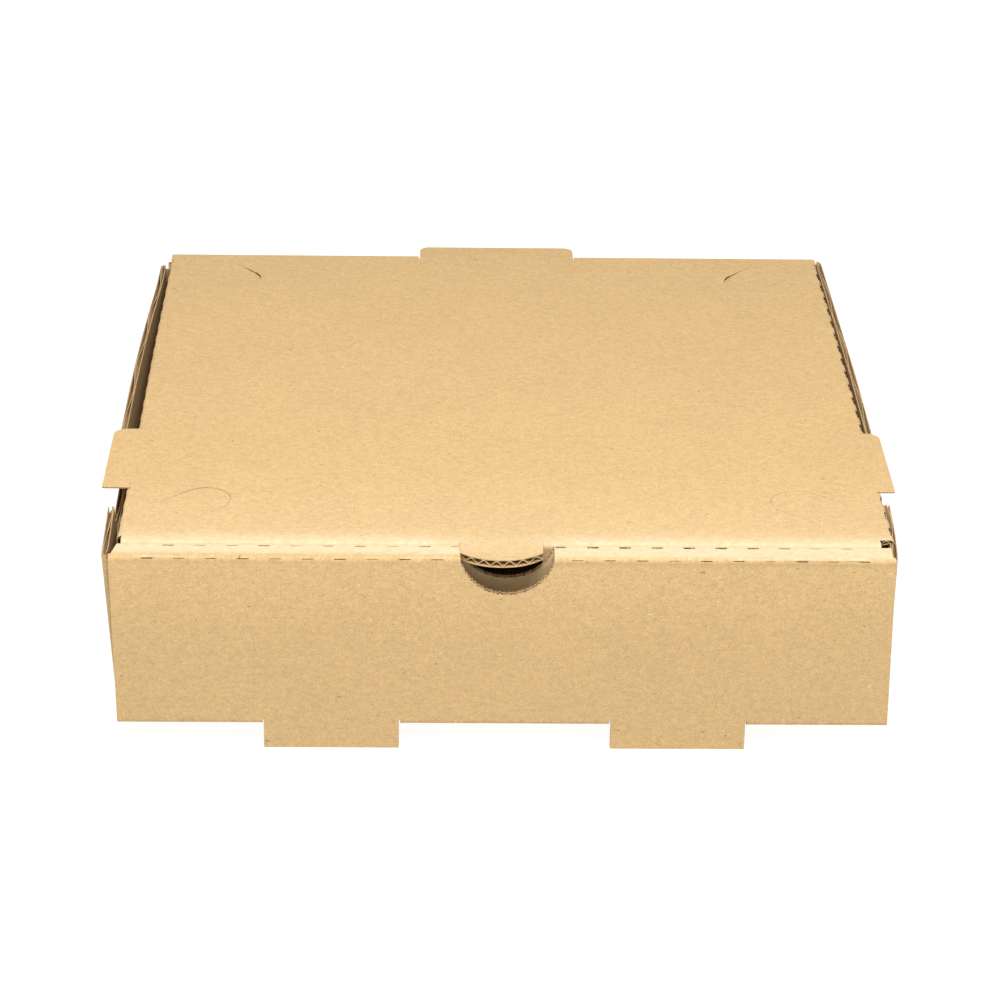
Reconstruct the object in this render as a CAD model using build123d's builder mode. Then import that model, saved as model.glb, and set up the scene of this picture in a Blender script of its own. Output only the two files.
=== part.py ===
from build123d import *
import os
from math import atan, cos, pi, radians, sin, tan

# A small die-cut pizza box, folded from one blank of single-wall corrugated board.
# Origin: centre of the underside of the bottom panel. +Y points to the hinged rear,
# +X to the right as seen from the front, +Z up. Millimetres and degrees.

# Box
inner_width = 203.2        # between the side walls at the bottom crease
inner_depth = 203.2        # roll-over front to rear wall
height = 49.4              # underside of the bottom to the top of the lid
board = 1.7                # thickness of the board
bend = 0.4                 # inside radius of a fold
fit_gap = 0.5              # between the lid and the tray
loose_gap = 0.3            # between the tray's own panels

# Roll-over front
roll_width = 8.4           # outside of the front to the inside of its inner panel
roll_taper = 3.2           # the inner panel is this much shorter at each end
thumb_gap = 1.6            # thumb notch over the lid's thumb tab, at each side
notch_depth = 10.7
notch_shift = 0.7          # right of the middle
dash_length = 3.5          # perforations along its creases
dash_width = 0.6
dash_pitch = 8.3
dash_start = 18.7          # from the middle of the thumb notch
dash_count = 10

# Feet cut from the bottom, in line with the front, and the locking tabs behind them
foot_width = 36.4
foot_pitch = 92.4
slot_room = 0.8            # between a locking tab and the rear end of its slot
lock_side_gap = 1.0        # and the sides of its slot
lock_lift = 0.3            # locking tabs end this far above the underside

# Side walls and ears
wall_lean = 3.0            # outward
wall_drop = 1.0            # below the top of the lid
ear_length = 40.0
ear_corner = 9.0           # cut off each ear's corners
rear_ear_gap = 2.0         # to the rear wall
latch_depth = 9.0          # notch under each side tab of the lid
latch_room = 9.8           # notch in front of the side tab
vent_margin = 0.8          # round the lid's rear tab, in the rear wall

# Lid
lid_side_gap = 1.55        # to the side walls
flap_lift = 8.85           # flaps end this far above the bottom
flap_lean = 3.0            # side flaps, inward
front_flap_ease = 1.2      # front flap, beyond the lean that lets it swing clear of the front
flap_taper = 6.0           # each flap narrows by this at each lower corner
corner_relief = 3.5        # square cut out of the front corners
rear_corner = 2.5          # radius
thumb_width = 21.8
thumb_length = 9.7         # past the front edge
thumb_straight = 5.0       # straight part of its sides
thumb_shift = -0.1
side_tab_start = 41.3      # from the front of the box
side_tab_length = 38.2
side_tab_width = 5.3       # past the side edge
side_tab_rear_corner = 3.5
side_tab_front_corner = 1.0
rear_tab_width = 49.0
rear_tab_length = 8.3
rear_tab_corner = 3.0
rear_tab_shift = 1.6

# Tongues cut in the lid, pointing at its middle
tongue_width = 14.4
tongue_length = 17.5
tongue_side = 22.5         # middle of the round end, from the side edge of the lid
tongue_front = 34.5        # the same, from the front of the box
tongue_rear = 20.5         # and from the rear
slit = 0.4                 # width of a knife cut

# Worked out from the sizes above
outer_width = inner_width + 2 * board
outer_depth = roll_width + inner_depth + board
front = -outer_depth / 2
rear = outer_depth / 2
mid = board / 2
fold = bend + mid
outer_fold = bend + board
lid_underside = height - board
wall_top = height - wall_drop
wall_slope = tan(radians(wall_lean))
wall_front = front + outer_fold + loose_gap
wall_rear = rear - board - rear_ear_gap
ear_bottom = board + loose_gap
ear_top = lid_underside - fit_gap
ear_end = inner_width / 2 - ear_length
foot_drop = roll_width - board + slot_room
notch_reach = thumb_width / 2 + thumb_gap
notch_radius = (notch_depth ** 2 + notch_reach ** 2) / (2 * notch_depth)
lid_side = inner_width / 2 + lid_underside * wall_slope - lid_side_gap
lid_front = front + roll_width + fit_gap
flap_foot = board + flap_lift
flap_drop = height - mid - flap_foot
flap_front = lid_front + corner_relief
flap_rear = wall_rear - board - fit_gap
front_flap_width = 2 * (lid_side - corner_relief)
side_tab_front = front + side_tab_start
side_tab_rear = side_tab_front + side_tab_length
latch_front = side_tab_front - latch_room
latch_rear = side_tab_rear + 2 * fit_gap
tongue_x = lid_side - tongue_side
past = 5.0                 # cutting shapes run this far past what they cut


def wall_x(z):
    """Middle of the leaning right side wall at height z."""
    return outer_width / 2 - mid + (z - mid) * wall_slope


wall_face = wall_x(ear_bottom) + mid / cos(radians(wall_lean))  # outside, where the ears start

# The front flap's own plane, with its fold at the plane's X axis
flap_tilt = atan(flap_drop / (2 * (rear - lid_front))) + radians(front_flap_ease)
front_flap_plane = Plane(
    origin=(0, lid_front + mid, height - mid),
    x_dir=(1, 0, 0),
    z_dir=(0, -cos(flap_tilt), -sin(flap_tilt)),
)


def thumb_outline(root, overlap):
    """Face of the thumb tab below a fold line at y = root, reaching overlap above it."""
    left = thumb_shift - thumb_width / 2
    right = thumb_shift + thumb_width / 2
    with BuildSketch(mode=Mode.PRIVATE) as outline:
        with BuildLine():
            Line((left, root - thumb_straight), (left, root + overlap))
            Line((left, root + overlap), (right, root + overlap))
            Line((right, root + overlap), (right, root - thumb_straight))
            ThreePointArc(
                (right, root - thumb_straight),
                (thumb_shift, root - thumb_length),
                (left, root - thumb_straight),
            )
        make_face()
    return outline.sketch_local


with BuildPart() as tray:
    # Roll-over front: outer panel, top strip and inner panel, standing on the bottom
    with BuildSketch(Plane.YZ.offset(-outer_width / 2)):
        with BuildLine():
            FilletPolyline(
                (front + roll_width, mid),
                (front + mid, mid),
                (front + mid, height - mid),
                (front + roll_width - mid, height - mid),
                (front + roll_width - mid, ear_bottom),
                radius=fold,
            )
        trace(line_width=board)
    extrude(amount=outer_width)
    # Its strip and inner panel are narrower than its outer panel
    with BuildSketch(Plane.XY.offset(ear_bottom)):
        for side in (-1, 1):
            with BuildLine():
                Polyline(
                    (side * (outer_width / 2 - board), front + board),
                    (side * (outer_width / 2 - roll_taper), front + roll_width),
                    (side * (outer_width / 2 - roll_taper), front + roll_width + past),
                    (side * (outer_width / 2 + past), front + roll_width + past),
                    (side * (outer_width / 2 + past), front + board),
                    close=True,
                )
            make_face()
    extrude(amount=height, mode=Mode.SUBTRACT)
    # Thumb notch through both front panels and the strip
    with BuildSketch(Plane.XZ.offset(-(front + roll_width + past))):
        with Locations((notch_shift, height - notch_depth + notch_radius)):
            Circle(notch_radius)
    extrude(amount=roll_width + 2 * past, mode=Mode.SUBTRACT)
    # Perforations along the two creases of the roll-over, staggered by half a pitch
    for index in range(dash_count):
        for side in (-1, 1):
            dash_x = notch_shift + side * (dash_start + index * dash_pitch)
            with Locations((dash_x, front + mid, height - mid)):
                Box(dash_length, 2 * board, dash_width, rotation=(-45, 0, 0), mode=Mode.SUBTRACT)
            with Locations((dash_x - side * dash_pitch / 2, front + roll_width - mid, height - mid)):
                Box(dash_length, 2 * board, dash_width, rotation=(45, 0, 0), mode=Mode.SUBTRACT)
    # Rear wall, which stops under the lid's hinge crease
    with BuildSketch(Plane.YZ.offset(-outer_width / 2)):
        with BuildLine():
            FilletPolyline(
                (wall_rear - outer_fold, mid),
                (rear - mid, mid),
                (rear - mid, lid_underside - loose_gap),
                radius=fold,
            )
        trace(line_width=board)
    extrude(amount=outer_width)
    # Vent in the rear wall, left by the lid's rear tab
    with BuildSketch(Plane.XZ.offset(-(rear + past))):
        with Locations((rear_tab_shift, height - rear_tab_length - vent_margin)):
            Rectangle(
                rear_tab_width + 2 * vent_margin,
                rear_tab_length + vent_margin + past,
                align=(Align.CENTER, Align.MIN),
            )
    extrude(amount=board + 2 * past, mode=Mode.SUBTRACT)
    # Bottom and the two leaning side walls
    with BuildSketch(Plane.XZ.offset(-wall_rear)):
        with BuildLine():
            FilletPolyline(
                (-wall_x(wall_top), wall_top),
                (-wall_x(mid), mid),
                (wall_x(mid), mid),
                (wall_x(wall_top), wall_top),
                radius=fold,
            )
        trace(line_width=board)
    extrude(amount=wall_rear - wall_front)
    # Notches in the side walls, under the lid's side tabs
    with BuildSketch(Plane.XY.offset(wall_top - latch_depth)):
        with Locations((0, (latch_front + latch_rear) / 2)):
            Rectangle(outer_width + 4 * past, latch_rear - latch_front)
    extrude(amount=latch_depth + past, mode=Mode.SUBTRACT)
    # Ears at both ends of the side walls, folded inward
    for ear_rear_face in (wall_front + board, wall_rear):
        with BuildSketch(Plane.XZ.offset(-ear_rear_face)):
            for side in (-1, 1):
                with BuildLine():
                    Polyline(
                        (side * wall_x(ear_bottom), ear_bottom),
                        (side * wall_x(ear_top), ear_top),
                        (side * (ear_end + ear_corner), ear_top),
                        (side * ear_end, ear_top - ear_corner),
                        (side * ear_end, ear_bottom + ear_corner),
                        (side * (ear_end + ear_corner), ear_bottom),
                        close=True,
                    )
                make_face()
        extrude(amount=board)
    # Round folds between the side walls and their ears
    for side in (-1, 1):
        with BuildSketch(Plane.XY.offset(ear_bottom)):
            for fold_y, inward in ((wall_front, 1), (wall_rear, -1)):
                with BuildLine():
                    Polyline(
                        (side * (wall_face - outer_fold), fold_y),
                        (side * (wall_face - outer_fold), fold_y - inward * loose_gap / 2),
                        (side * (wall_face + past), fold_y - inward * loose_gap / 2),
                        (side * (wall_face + past), fold_y + inward * outer_fold),
                        (side * wall_face, fold_y + inward * outer_fold),
                    )
                    ThreePointArc(
                        (side * wall_face, fold_y + inward * outer_fold),
                        (
                            side * (wall_face - outer_fold * (1 - cos(pi / 4))),
                            fold_y + inward * outer_fold * (1 - cos(pi / 4)),
                        ),
                        (side * (wall_face - outer_fold), fold_y),
                    )
                make_face()
        extrude(amount=height, dir=(side * wall_slope, 0, 1), mode=Mode.SUBTRACT)
    # Slots in the bottom, where the feet were cut out
    with BuildSketch(Plane.XY):
        with Locations((0, front + board + foot_drop / 2)):
            with GridLocations(foot_pitch, 0, 2, 1):
                Rectangle(foot_width, foot_drop)
    extrude(amount=board, mode=Mode.SUBTRACT)
    # Feet, in line with the front panel
    with BuildSketch(Plane.XZ.offset(-(front + board))):
        with Locations((0, (outer_fold - foot_drop) / 2)):
            with GridLocations(foot_pitch, 0, 2, 1):
                Rectangle(foot_width, foot_drop + outer_fold)
    extrude(amount=board)
    # Locking tabs of the inner panel, in the slots
    with BuildSketch(Plane.XZ.offset(-(front + roll_width))):
        with Locations((0, (lock_lift + ear_bottom) / 2)):
            with GridLocations(foot_pitch, 0, 2, 1):
                Rectangle(foot_width - 2 * lock_side_gap, ear_bottom - lock_lift)
    extrude(amount=board)
tray.part.label = "tray"


with BuildPart() as lid:
    # Side flaps, folded down from the top and leaning inward
    with BuildSketch(Plane.XZ.offset(-flap_rear)):
        with BuildLine():
            flap_foot_x = lid_side - mid - flap_drop * tan(radians(flap_lean))
            FilletPolyline(
                (-flap_foot_x, flap_foot),
                (-(lid_side - mid), height - mid),
                (lid_side - mid, height - mid),
                (flap_foot_x, flap_foot),
                radius=fold,
            )
        trace(line_width=board)
    extrude(amount=flap_rear - flap_front)
    # Their tapered ends
    with BuildSketch(Plane.YZ.offset(-2 * lid_side)):
        with BuildLine():
            Polyline(
                (flap_front, height),
                (flap_front, lid_underside - outer_fold),
                (flap_front + flap_taper, flap_foot - past),
                (flap_rear - flap_taper, flap_foot - past),
                (flap_rear, lid_underside - outer_fold),
                (flap_rear, height),
                close=True,
            )
        make_face()
    extrude(amount=4 * lid_side, mode=Mode.INTERSECT)
    # Holes that the side tabs leave in them
    with BuildSketch(Plane.YZ.offset(-2 * lid_side)):
        with Locations((side_tab_front, lid_underside - side_tab_width)):
            Rectangle(side_tab_length, side_tab_width + board, align=(Align.MIN, Align.MIN))
    extrude(amount=4 * lid_side, mode=Mode.SUBTRACT)
    # Front flap, leaning inward behind the roll-over
    with BuildSketch(Plane.YZ.offset(-front_flap_width / 2)):
        with BuildLine():
            FilletPolyline(
                (flap_front + mid, height - mid),
                (lid_front + mid, height - mid),
                (lid_front + mid + flap_drop * tan(flap_tilt), flap_foot),
                radius=fold,
            )
        trace(line_width=board)
    extrude(amount=front_flap_width)
    # Its tapered ends, and the hole that the thumb tab leaves
    with BuildSketch(front_flap_plane):
        for side in (-1, 1):
            with BuildLine():
                Polyline(
                    (side * front_flap_width / 2, -outer_fold),
                    (side * (front_flap_width / 2 - flap_taper), -flap_drop - past),
                    (side * (front_flap_width / 2 + past), -flap_drop - past),
                    (side * (front_flap_width / 2 + past), -outer_fold),
                    close=True,
                )
            make_face()
        add(thumb_outline(0, past))
    extrude(amount=board, both=True, mode=Mode.SUBTRACT)
    # Top, with its tabs in one plane with it
    with BuildSketch(Plane.XY.offset(lid_underside)):
        with Locations((0, flap_front)):
            Rectangle(2 * (lid_side - outer_fold), flap_rear - flap_front, align=(Align.CENTER, Align.MIN))
        with BuildSketch(mode=Mode.PRIVATE) as rear_strip:
            with Locations((0, rear)):
                Rectangle(2 * lid_side, rear - flap_rear, align=(Align.CENTER, Align.MAX))
            fillet(rear_strip.vertices().group_by(Axis.Y)[-1], radius=rear_corner)
        add(rear_strip.sketch)
        with BuildSketch(mode=Mode.PRIVATE) as side_tabs:
            with Locations((0, side_tab_front)):
                Rectangle(
                    2 * (lid_side + side_tab_width),
                    side_tab_length,
                    align=(Align.CENTER, Align.MIN),
                )
            fillet(side_tabs.vertices().group_by(Axis.Y)[-1], radius=side_tab_rear_corner)
            fillet(side_tabs.vertices().group_by(Axis.Y)[0], radius=side_tab_front_corner)
        add(side_tabs.sketch)
        with BuildSketch(mode=Mode.PRIVATE) as rear_tab:
            with Locations((rear_tab_shift, rear - rear_corner)):
                Rectangle(
                    rear_tab_width,
                    rear_tab_length + rear_corner,
                    align=(Align.CENTER, Align.MIN),
                )
            fillet(rear_tab.vertices().group_by(Axis.Y)[-1], radius=rear_tab_corner)
        add(rear_tab.sketch)
        add(thumb_outline(lid_front, corner_relief + past))
    extrude(amount=board)
    # Tongues: each is a U-shaped knife cut through the top
    with BuildSketch(Plane.XY.offset(lid_underside)):
        for side in (-1, 1):
            for tongue_y, turn in ((front + tongue_front, 1), (rear - tongue_rear, -1)):
                direction = Vector(-side * tongue_x, -tongue_y).normalized()
                across = direction.rotate(Axis.Z, 90)
                tip = Vector(side * tongue_x, tongue_y) + direction * tongue_width / 2
                middle = Vector(side * tongue_x, tongue_y)
                straight = direction * (tongue_length - tongue_width / 2)
                left = middle + across * tongue_width / 2
                right = middle - across * tongue_width / 2
                with BuildLine():
                    Line(left - straight, left)
                    ThreePointArc(left, tip, right)
                    Line(right, right - straight)
                trace(line_width=slit)
    extrude(amount=board, mode=Mode.SUBTRACT)
lid.part.label = "lid"


os.makedirs("parts", exist_ok=True)
for piece in (tray, lid):
    export_step(piece.part, f"parts/{piece.part.label}.step")
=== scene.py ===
from math import acos, atan, cos, pi, radians, sin, tan

import bpy
import numpy as np
from mathutils import Matrix, Vector
from mathutils.geometry import delaunay_2d_cdt

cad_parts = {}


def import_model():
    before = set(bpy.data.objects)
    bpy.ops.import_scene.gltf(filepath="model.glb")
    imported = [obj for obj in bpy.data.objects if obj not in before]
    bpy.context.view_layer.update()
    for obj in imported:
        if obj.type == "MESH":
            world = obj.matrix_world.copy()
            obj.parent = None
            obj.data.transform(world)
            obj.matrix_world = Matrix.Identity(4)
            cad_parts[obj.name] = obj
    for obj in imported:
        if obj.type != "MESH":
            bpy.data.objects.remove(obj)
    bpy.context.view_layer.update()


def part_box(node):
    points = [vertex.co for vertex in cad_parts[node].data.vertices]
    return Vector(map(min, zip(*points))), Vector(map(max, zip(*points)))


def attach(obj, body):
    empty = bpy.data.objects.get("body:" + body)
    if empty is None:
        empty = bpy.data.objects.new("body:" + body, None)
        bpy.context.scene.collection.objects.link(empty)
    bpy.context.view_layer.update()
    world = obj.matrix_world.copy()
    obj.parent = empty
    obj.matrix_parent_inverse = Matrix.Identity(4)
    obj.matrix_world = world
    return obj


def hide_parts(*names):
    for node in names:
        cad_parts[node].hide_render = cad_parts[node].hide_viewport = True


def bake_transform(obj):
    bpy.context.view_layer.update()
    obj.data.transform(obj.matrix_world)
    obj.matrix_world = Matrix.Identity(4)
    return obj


# A small pizza box, folded from a die-cut blank of single-wall corrugated kraft board.
# Each piece is cut out flat, as the liners and the fluted paper between them, and folded
# round the same creases as the frame. Sizes are in millimetres, and meshes in metres.

MM = 0.001
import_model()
TRAY_LOW, TRAY_HIGH = (np.array(corner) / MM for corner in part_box("tray"))
LID_LOW, LID_HIGH = (np.array(corner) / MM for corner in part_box("lid"))
FRONT = TRAY_LOW[1]
REAR = TRAY_HIGH[1]
HEIGHT = TRAY_HIGH[2]
FOOT_TIP = TRAY_LOW[2]

# Board
BOARD = 1.7
LINER = 0.25               # paper of each face
MEDIUM = 0.2               # fluted paper
FLUTE = 3.35               # pitch of the flutes
FLUTE_STEPS = 7            # mesh steps along one flute
FLUTE_SKEW = 1 / 12        # the flutes run this far sideways for each millimetre forward
FOLD = 0.4                 # radius of a fold, at the middle of the board
CRUSH = 0.7                # share of the board pressed flat on the inside of a fold
CRUSH_SPREAD = 1.6         # how far from the fold that fades
HINGE_SPREAD = 0.9         # and at the hinge
HINGE_FLUTES = 0.4         # height of the hinge's flutes, as a share of the others'
KERF = 0.35                # gap of a cut
GRID = 8.0                 # mesh spacing on a flat face
HINGE_GRID = 0.5           # across the hinge's crease
FLUTE_GRID = 26.0          # along the tray's flutes
FLUTE_FOLD = (2, (1.5,))   # mesh steps of the tray's fluted paper in a fold, and beside it
MID = BOARD / 2
OUTER_FOLD = FOLD + MID    # from an outer face to where the fold at its end begins

# Roll-over front
HALF = 103.3               # half the width of the bottom and rear
ROLL = 8.4
ROLL_ENDS = (-101.5, 102.6)  # where the strip's cut ends meet its rear crease
STRIP_INSET = 0.6          # its front corners, from the ends of the front
NOTCH_X = 0.85
NOTCH_DEPTH = 10.7
NOTCH_REACH = 12.35        # half the width of the thumb notch at the top
NOTCH_RISE = 1.6           # the inner panel's notch is this much shallower
SERRATION = 1.15           # teeth of the notch's cut edge
TOOTH = 0.24               # height of the longest

# Perforations
DASH_LENGTH = 3.5
DASH_WIDTHS = (0.08, 0.65)  # along the strip's front crease and its rear one
DASH_SHIFTS = (0.08, 0.75)  # forward from the middles of those creases
DASH_PITCH = 8.42
DASH_START = 18.3          # from the middle of the thumb notch
DASH_COUNT = 10
REAR_DASH_SHIFTS = (5.2, 4.2)  # the rear dashes are this much nearer the notch
REAR_DASH_TEAR = 0.5       # and those on the right are torn this much wider
REAR_DASH_TORN = 68.0      # as far to the right as this
LIP_FORWARD = 0.2          # how far the edge of a front dash stands proud
LIP_UP = 0.32
LIP_SPREAD = 0.5
SCORE_LENGTH = 6.4         # the cuts along the lid's side creases
SCORE_WIDTHS = (0.8, 1.2)  # on the left and on the right
SCORE_OUT = 0.4            # from the middle of the fold
SCORE_PITCH = 9.5
SCORE_MARGIN = 9.0         # from the lid's front and rear
SCORE_TAB_GAP = 2.0        # and from its side tabs

# Bottom, feet and locking tabs
FOOT_MIDDLES = (-45.3, 47.2)
FOOT_WIDTH = 36.0
SLOT_END = 9.2             # behind the front
LOCK_WIDTH = 34.4
LOCK_TIP = 0.3             # above the underside
PANEL_FOOT = 2.0           # the inner panel ends this far above the underside
EAR_FOOT = PANEL_FOOT + 0.8  # and so do the ears

# Side walls and ears
WALL_LEAN = radians(3)
WALL_TOP = HEIGHT - 1.0
WALL_FRONT = FRONT + 2.4
WALL_REAR = REAR - BOARD - 2.0
WALL_FOOT = HALF - MID     # middle of the wall's board at the bottom's mid-plane
EAR_END = 61.6
EAR_TOP = HEIGHT - BOARD - 0.5
EAR_CORNER = 9.0
LATCH_FRONTS = (-75.1, -70.9)
LATCH_REAR = -26.15
LATCH_DEPTH = 9.0
VENT_HALF = 25.3
VENT_FOOT = 40.3

# Lid
LID_SIDE = 102.55
LID_FRONT = FRONT + ROLL + 0.1
LID_LEAN = radians(3)
FLAP_FOOT = LID_LOW[2]
FLAP_FRONT = LID_FRONT + 3.6
FLAP_REAR = WALL_REAR - BOARD - 0.5
FLAP_TAPER = 6.0
FRONT_FLAP_ENDS = (-LID_SIDE + 1.4, LID_SIDE - 4.0)
FLAP_DROP = HEIGHT - MID - FLAP_FOOT
FRONT_TILT = atan(FLAP_DROP / (2 * (REAR - LID_FRONT))) + radians(1.2)
THUMB_X = -0.1
THUMB_WIDTH = 21.8
THUMB_STRAIGHT = 5.0
THUMB_SWELL = 0.33         # the board is this much thicker, as a share, at the thumb tab's tip
TAB_CRUSH = 0.8            # and this much thinner at the front edges of the side tabs
SIDE_TAB_FRONT = -65.35
SIDE_TAB_REAR = -27.15
SIDE_TAB_CORNERS = (1.0, 3.5)
REAR_TAB_X = 1.6
REAR_TAB_HALF = 24.5
REAR_TAB_CORNER = 3.0
HINGE_EDGE = 3.0           # the hinge's crease reaches this far from the corner, both ways
LID_ENDS = (0.6, 1.1)      # how far right the lid's side creases lie at the rear
REAR_RISE = 0.5            # the lid's rear edge is this much higher than its front
RACK = 0.0027              # the lid's front lies this far to the left, for each millimetre

# Tongues cut in the lid: which side, the middle of the round end, and how deep its
# left and right edges are pressed in
TONGUE_X = 80.05
TONGUE_WIDTH = 14.4
TONGUE_LENGTH = 17.5
SLIT = 0.08                # width of the knife's cut, here and round the thumb tab
TONGUES = (
    (-1, FRONT + 34.5, 0.26, 0.02),
    (1, FRONT + 34.5, 0.0, 0.04),
    (-1, REAR - 20.5, 0.8, 0.0),
    (1, REAR - 20.5, 0.0, 0.8),
)

# How the folded box isn't true. Pairs are for the left and the right
SIDE_START = 60.0          # the faults of the sides begin this far from the middle
IN_AT_FOOT = (1.1, 0.1)    # the ends of the front lie this far in at their foot
FRONT_IN_AT_TOP = (0.4, 1.0)  # and at their top
WALL_IN_AT_TOP = (0.9, 2.8)  # or the tops of the walls behind them
IN_FADE = 24.0             # how far back that reaches
BOW = (1.0, 0.65)          # the walls' tops bulge outwards this far
BOW_MIDDLES = (0.0, 50.0)
BOW_HALVES = (85.0, 100.0)
TUCK = (0.5, 0.6)          # and they lean in this far at the rear
TUCK_START = 10.0
REAR_END_START = 40.0
REAR_END_BACK = (-2.0, 1.7)  # their rear ends lie this far back
REAR_END_UP = (-0.4, 0.8)
SAG = 0.4                  # of the bottom, at the front crease
SAG_LENGTH = 6.0
SAG_HEIGHT = 4.0
RISE_END = 5.0             # the rear wall has risen in full this far below the top
LID_ENDS_FRONT = (1.4, 1.5)  # how far right the lid's side creases lie at the front
LID_TURNS = ((-50, 75), (-REAR, 50 - REAR))  # and how far forward they turn to that
RISE_START = 10.0          # the lid starts to rise here

# Painted light on the paper: 1 is the palest painted highlight, and -1 is the darkest painted
# shade
STRIP_HIGHLIGHT_FADES = (2.8, 0.9)   # painted highlight on the strip, up to its front crease, fading in this much
CREASE_SHADE = (0.2, 0.45)  # painted shade just below that crease
CREASE_SHADE_SPREAD = 0.4
FRONT_SHADE = 0.2           # painted shade, darker towards the foot of the front
FRONT_SHADE_DROP = 26.0     # where it is full, below that crease
WALL_SHADE = (16.0, 6.0)    # painted shade inside the walls, in the gap under the lid; it grows this far below their tops
FLAP_SHADE = (5.0, 14.0)    # painted shade outside the lid's flaps, in the gap by the walls; it fades this far below the lid
NOTCH_LIGHT = 0.5           # painted light on the inner panel, in the shade of the thumb notch
LID_HIGHLIGHT = 0.8             # painted highlight on the lid's front crease
LID_HIGHLIGHT_SPREAD = 4.0
LID_HIGHLIGHT_FADES = (9.0, 1.5)  # past that crease, on the thumb tab and on the flap
THUMB_HIGHLIGHT = 0.25          # and at the thumb tab
LID_FRONT_HIGHLIGHT = 0.15            # painted highlight, brighter towards the lid's front
LID_FRONT_HIGHLIGHT_LENGTH = 55.0

CUT, PANEL, TAB = 0, 1, 2


# Folding

class Profile:
    """The board's mid-line across parallel folds: straight runs joined by arcs.

    Its flat coordinate equals the first coordinate on the run named flat_run. A point's
    height above the mid-line is to the left of the way the line runs."""

    def __init__(self, corners, flat_run):
        corners = [Vector(corner) for corner in corners]
        ways = [(b - a).normalized() for a, b in zip(corners, corners[1:])]
        self.turns = [a.angle_signed(b) * -1 for a, b in zip(ways, ways[1:])]
        trims = [0] + [FOLD * tan(abs(turn) / 2) for turn in self.turns] + [0]
        self.ways = ways
        self.begins = []
        self.starts = []
        self.lengths = []
        self.corner_flats = []
        flat = 0
        for run, way in enumerate(ways):
            self.begins.append(corners[run] + way * trims[run])
            self.starts.append(flat)
            self.corner_flats.append(flat - trims[run])
            length = (corners[run + 1] - corners[run]).length - trims[run] - trims[run + 1]
            self.lengths.append(length)
            flat += length
            if run < len(self.turns):
                flat += FOLD * abs(self.turns[run])
        shift = corners[flat_run][0] - self.corner_flats[flat_run]
        self.starts = [start + shift for start in self.starts]
        self.corner_flats = [start + shift for start in self.corner_flats]

    def flat(self, run, along):
        """Flat coordinate of the point this far along a run, from the run's first corner."""
        return self.corner_flats[run] + along

    def fold(self, run):
        """Flat coordinate of the middle of the fold at the end of a run."""
        return self.starts[run] + self.lengths[run] + FOLD * abs(self.turns[run]) / 2

    def lines(self, steps=6, beside=(0.4, 1.2, 2.5, 4.5)):
        """Flat coordinates of the mesh lines in each fold and beside it."""
        found = []
        for run, turn in enumerate(self.turns):
            begin = self.starts[run] + self.lengths[run]
            end = begin + FOLD * abs(turn)
            found += np.linspace(begin, end, steps + 1).tolist()
            for past in beside:
                found += [begin - past, end + past]
        return found

    def crease(self, flat, spread):
        """1 in the middle of a fold, falling to 0 over a few times the spread."""
        total = np.zeros_like(flat)
        for run in range(len(self.turns)):
            total += np.exp(-((flat - self.fold(run)) / spread) ** 2)
        return np.clip(total, 0, 1)

    def press(self, flat, height, spread=CRUSH_SPREAD):
        """Heights above the mid-line, with the board pressed flat on the inside of its folds."""
        inner = height * np.sign(self.turns[0]) > 0
        pressed = height * (1 - CRUSH * self.crease(flat, spread))
        return np.where(inner, pressed, height)

    def place(self, flat, height):
        """Folded position of points at these flat coordinates and heights."""
        across = np.zeros_like(flat)
        up = np.zeros_like(flat)
        for run, way in enumerate(self.ways):
            start = self.starts[run]
            end = start + self.lengths[run]
            low = -np.inf if run == 0 else start
            high = np.inf if run == len(self.turns) else end
            on = (flat >= low) & (flat <= high)
            past = flat[on] - start
            across[on] = self.begins[run].x + way.x * past - way.y * height[on]
            up[on] = self.begins[run].y + way.y * past + way.x * height[on]
            if run == len(self.turns):
                break
            turn = self.turns[run]
            hand = np.sign(turn)
            centre = self.begins[run] + way * self.lengths[run]
            centre += Vector((-way.y, way.x)) * FOLD * hand
            on = (flat > end) & (flat < end + FOLD * abs(turn))
            angle = (flat[on] - end) / FOLD * hand
            reach = height[on] - FOLD * hand
            normal_x = -way.y * np.cos(angle) - way.x * np.sin(angle)
            normal_y = way.x * np.cos(angle) - way.y * np.sin(angle)
            across[on] = centre.x + normal_x * reach
            up[on] = centre.y + normal_y * reach
        return across, up


def wall_x(z):
    """Middle of the right side wall at height z."""
    return WALL_FOOT + (z - MID) * tan(WALL_LEAN)


TRAY_LENGTH = Profile(
    [
        (FRONT + ROLL - MID, LOCK_TIP),
        (FRONT + ROLL - MID, HEIGHT - MID),
        (FRONT + MID, HEIGHT - MID),
        (FRONT + MID, MID),
        (REAR - MID, MID),
        (REAR - MID, HEIGHT - HINGE_EDGE),
    ],
    flat_run=3,
)
INNER_PANEL, STRIP, FRONT_PANEL, BOTTOM, REAR_WALL = range(5)
TRAY_WIDTH = Profile(
    [
        (-wall_x(WALL_TOP), WALL_TOP),
        (-WALL_FOOT, MID),
        (WALL_FOOT, MID),
        (wall_x(WALL_TOP), WALL_TOP),
    ],
    flat_run=1,
)
EAR_REACH = 50.0
WALL_LENGTH = Profile(
    [
        (WALL_FRONT + MID, EAR_REACH),
        (WALL_FRONT + MID, 0),
        (WALL_REAR - MID, 0),
        (WALL_REAR - MID, EAR_REACH),
    ],
    flat_run=1,
)
FLAP_X = LID_SIDE - MID - FLAP_DROP * tan(LID_LEAN)
LID_WIDTH = Profile(
    [
        (-FLAP_X, FLAP_FOOT),
        (-LID_SIDE + MID, HEIGHT - MID),
        (LID_SIDE - MID, HEIGHT - MID),
        (FLAP_X, FLAP_FOOT),
    ],
    flat_run=1,
)
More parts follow.
